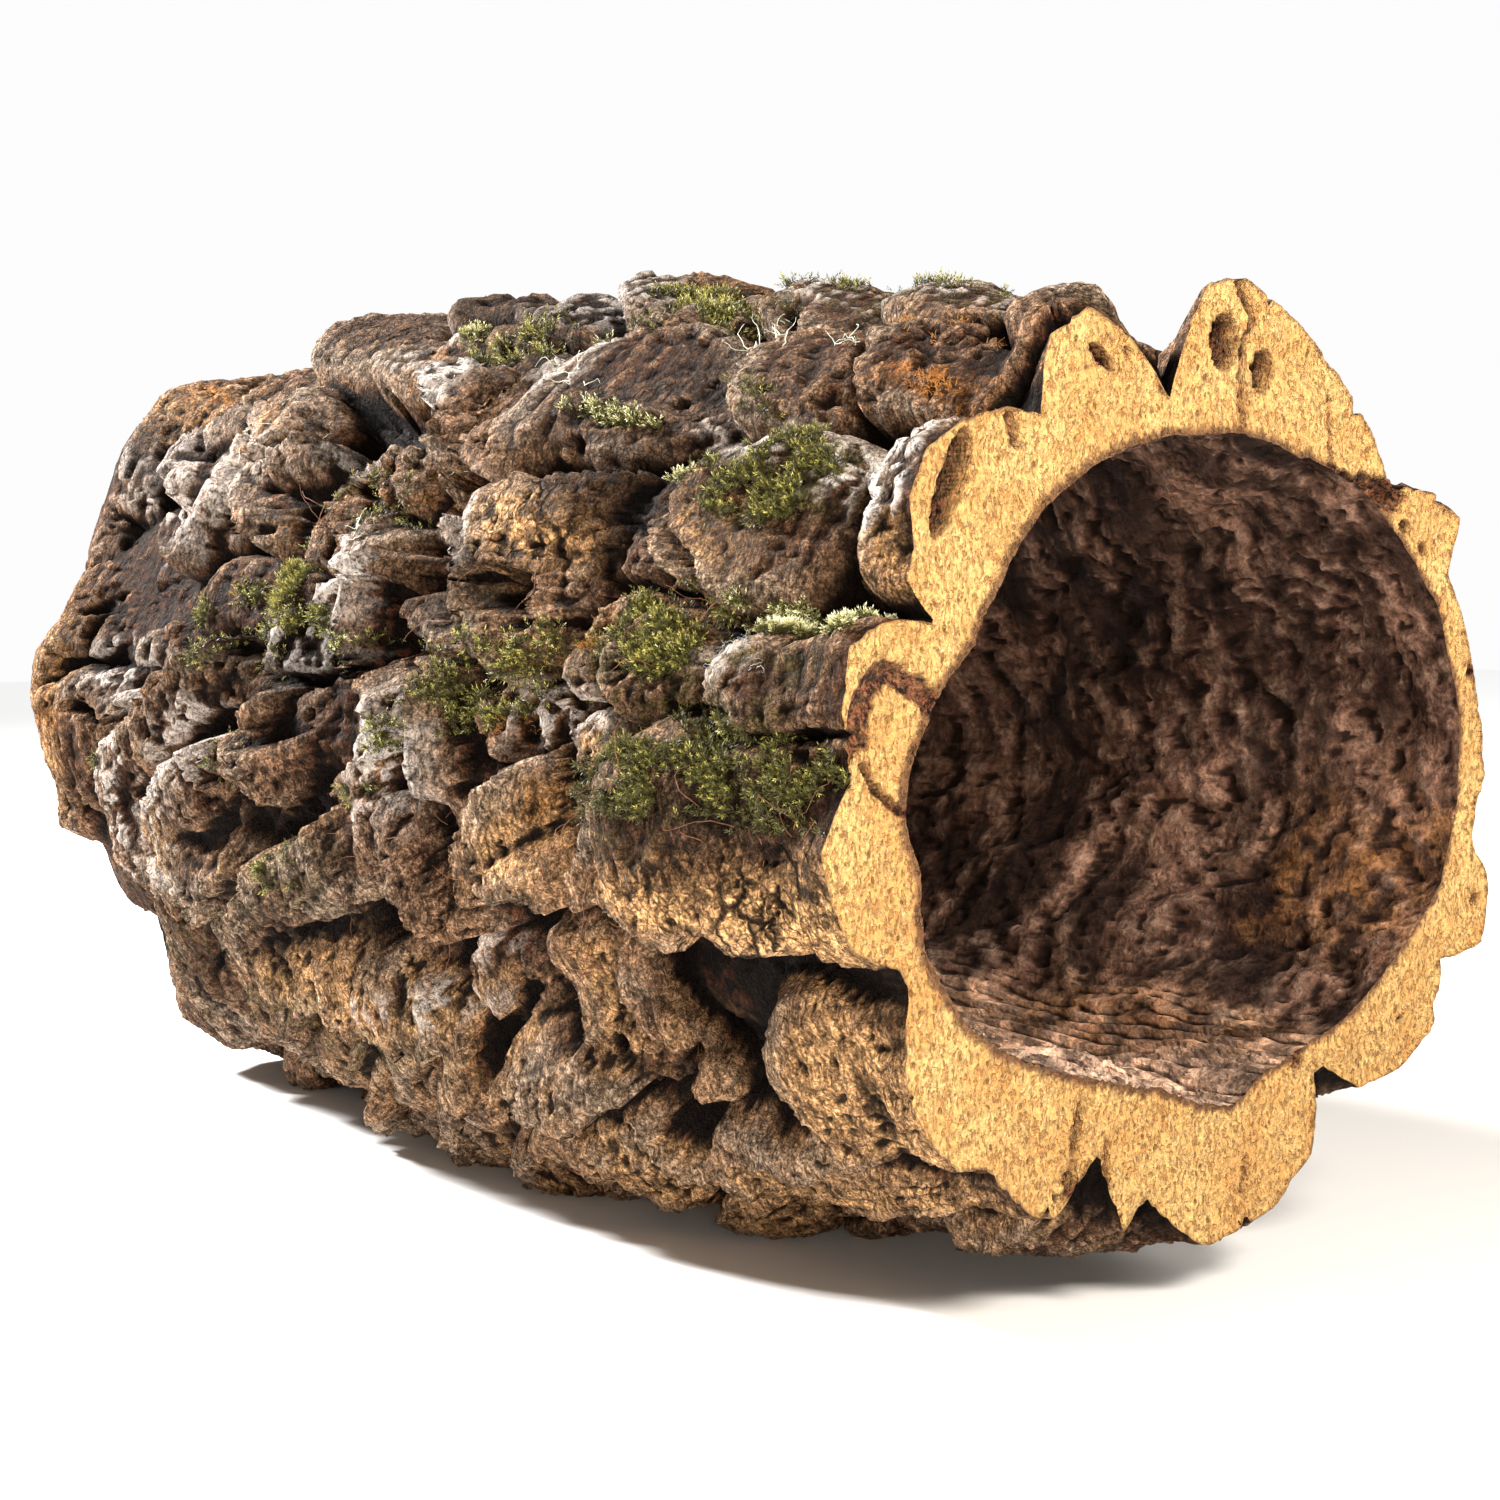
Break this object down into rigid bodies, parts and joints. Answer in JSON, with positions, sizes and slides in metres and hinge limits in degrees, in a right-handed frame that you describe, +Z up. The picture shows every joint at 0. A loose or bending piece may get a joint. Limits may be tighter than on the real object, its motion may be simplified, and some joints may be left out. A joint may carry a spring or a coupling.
{
  "type": "cork bark tube",
  "caption": "Hollow length of cork bark, sawn at both ends, with lobed mossy bark; lies on its side as a hide, planter or decoration.",
  "frame": {"origin": "middle of the underside, on the surface that the bark rests on", "axes": "+Z up, the hollow runs along Y, with the front sawn face at -Y"},
  "size_m": [0.21, 0.38, 0.2239],
  "materials": {
    "cork_bark": "rough dark brown bark with tan worn ridges, warm yellow porous sawn faces and a dark brown inside",
    "moss": "soft matt moss, dark green to yellow-green"
  },
  "bodies": {
    "root": {"cork_tube": "cork_bark", "moss_main": "moss", "moss_patch": "moss", "moss_upper": "moss", "moss_middle": "moss", "moss_rear": "moss", "moss_crest": "moss", "moss_crest_rear": "moss"}
  },
  "joints": []
}
